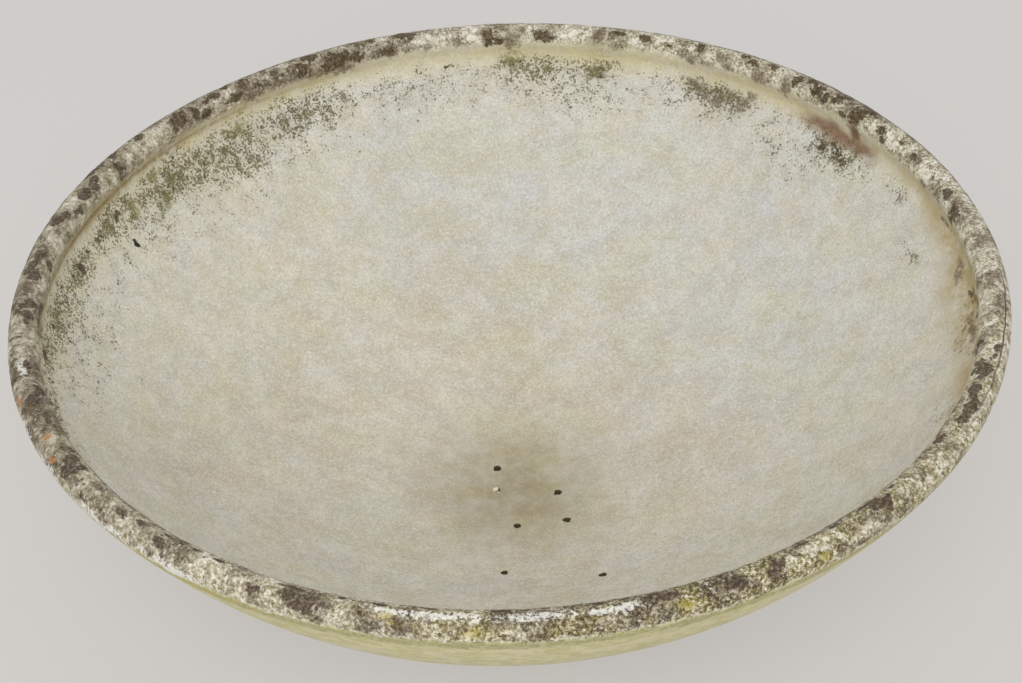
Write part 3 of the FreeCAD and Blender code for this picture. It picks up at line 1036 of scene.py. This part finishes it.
def lichens(g, colour):
    """Dark lichens, short dark marks along the roll's inner edge, and flecks all over the crust."""
    m = g.mask
    depth = g.rise(g.fine, 0.2, 0.95)
    cold = g.mix(depth, (62, 51, 42), (110, 95, 79))
    warm = g.mix(depth, (58, 47, 29), (104, 86, 57))
    dark = g.mix(m("warm"), cold, warm)
    breaking = g.between(m("soft"), g.patchy, g.lumpy)
    colour = g.mix(g.times(g.ragged(m("lichen"), breaking, 1.15, 0.15), 0.94), colour, dark)
    colour = g.mix(g.ragged(m("dash"), g.patchy, 0.7, 0.2), colour, (82, 70, 60))
    flecks = g.times(g.dots(130, 0.5, 0.36, 0.15), g.rise(m("crust"), 0.4, 0.9))
    return g.mix(g.times(flecks, 0.75), colour, (84, 74, 62))


def marks(g, colour):
    """The opened seam, single dark marks, small pits, and the insides of the drain holes: painted shade, with
    pale grit in the limed one.
    """
    m = g.mask
    split = g.times(m("crack"), g.rise(g.math("ABSOLUTE", m("off_seam")), 1.5, 0.5, 0.9))
    colour = g.mix(split, colour, (72, 58, 42))
    colour = g.mix(g.rise(m("mark"), 0.35, 0.55), colour, (46, 42, 36))
    colour = g.mix(g.times(g.dots(60, 0.14, 0.07, 0.03), 0.75), colour, (98, 88, 70))
    gritty = g.times(m("grit"), g.rise(g.mottle, 0.4, 0.6))
    # Inside the drain holes: dark brown painted shade, and pale grit in the limed one
    return g.mix(m("hole"), colour, g.mix(gritty, (92, 78, 54), (222, 214, 192)))


def cement(name):
    """Weathered fibre cement: the plain surface, and over it what the masks bring."""
    g = CementGraph(name)
    colour = bare_cement(g)
    for layer in (outside_face, crust, crease, growths, specks, lichens, marks):
        colour = layer(g, colour)
    g.put(g.shader.inputs["Base Color"], colour)
    g.put(g.shader.inputs["Roughness"], g.add(0.8, g.times(g.fine, 0.15)))
    g.shader.inputs["Specular IOR Level"].default_value = 0.25
    height = g.add(g.times(g.grain, 0.25), g.times(g.fine, g.add(0.2, g.times(g.mask("crust"), 0.6))))
    bump = g.node("Bump", {"Strength": 0.3, "Distance": 1.2 * MM, "Height": height})
    g.put(g.shader.inputs["Normal"], bump.outputs["Normal"])
    return g.material


# Pieces

def dress(name, mesh, body, node, slot, sharp_angle):
    """Makes a mesh a piece of the object, in place of one solid. Edges over the angle stay sharp."""
    piece = add_object(name, mesh)
    mesh.shade_smooth()
    mesh.set_sharp_from_angle(angle=math.radians(sharp_angle))
    mesh.materials.clear()
    mesh.materials.append(cement(slot))
    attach(piece, body)
    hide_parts(node)


rng = np.random.default_rng(11)
shell = cut(shell_mesh(), drill_mesh(rng))
weather(shell)
dress("weathered_shell", shell, "bowl", "bowl_shell", "bowl_cement", 50)
roll = roll_mesh()
weather(roll)
dress("crusted_roll", roll, "bowl", "rim_roll", "rim_cement", 50)
foot = foot_mesh()
weather_foot(foot)
dress("weathered_foot", foot, "foot", "foot_ring", "foot_cement", 40)


# Floor, light and camera

FLOOR_GLOW = 0.55  # how much of the floor's look is its own pale colour, without light and shade
KEY_TARGET = Vector((0, 0, 0.1))
CAMERA_RISE = 1.188  # above the rim
CAMERA_DISTANCE = 1.6195  # in front of the bowl's axis
CAMERA_PITCH = 38.5  # downwards, in degrees
CAMERA_YAW = 0.04  # to the right
CAMERA_ROLL = -2.33


def floor():
    work = bmesh.new()
    bmesh.ops.create_circle(work, cap_ends=True, segments=96, radius=30)
    made = add_object("floor", finished("floor", work))
    g = Graph("pale_floor")
    g.shader.inputs["Base Color"].default_value = srgb(212, 209, 206)
    g.shader.inputs["Roughness"].default_value = 0.95
    g.shader.inputs["Specular IOR Level"].default_value = 0.1
    glow = g.node("Emission", {"Color": srgb(206, 203, 200)}).outputs["Emission"]
    ray = g.node("LightPath").outputs
    seen = g.math("MAXIMUM", ray["Is Camera Ray"], ray["Is Glossy Ray"])
    seen = g.times(g.math("MAXIMUM", seen, ray["Is Transmission Ray"]), FLOOR_GLOW)
    share = g.node("MixShader", {"Fac": seen, 1: g.shader.outputs["BSDF"], 2: glow})
    g.put(g.tree.nodes["Material Output"].inputs["Surface"], share.outputs[0])
    made.data.materials.append(g.material)


def lights():
    """An even pale sky, and one wide soft lamp in front of the bowl."""
    world = bpy.data.worlds.new("soft_sky")
    world.use_nodes = True
    background = world.node_tree.nodes["Background"]
    background.inputs["Color"].default_value = srgb(250, 250, 250)
    background.inputs["Strength"].default_value = 0.85
    bpy.context.scene.world = world
    lamp = bpy.data.lights.new("key", "AREA")
    lamp.shape = "DISK"
    lamp.size = 2.6
    lamp.energy = 80
    key = add_object("key", lamp)
    key.location = (-0.3, -3.1, 2.8)
    key.rotation_mode = "QUATERNION"
    key.rotation_quaternion = (KEY_TARGET - key.location).to_track_quat("-Z", "Y")


def camera():
    """The photograph's camera, fitted to the rim's outlines."""
    pitch, yaw, lean = (math.radians(a) for a in (CAMERA_PITCH, CAMERA_YAW, CAMERA_ROLL))
    data = bpy.data.cameras.new("camera")
    data.sensor_width = 36
    data.lens = 70.1
    data.clip_end = 100
    forward = Vector((math.sin(yaw) * math.cos(pitch), math.cos(yaw) * math.cos(pitch), -math.sin(pitch)))
    level = Vector((math.cos(yaw), -math.sin(yaw), 0))
    upright = level.cross(forward)
    right = level * math.cos(lean) + upright * math.sin(lean)
    above = upright * math.cos(lean) - level * math.sin(lean)
    facing = Matrix((right, above, -forward)).transposed().to_4x4()
    made = add_object("camera", data)
    made.matrix_world = Matrix.Translation((0, -CAMERA_DISTANCE, RIM_Z + CAMERA_RISE)) @ facing
    bpy.context.scene.camera = made


floor()
lights()
camera()
bpy.context.scene.view_settings.view_transform = "Standard"
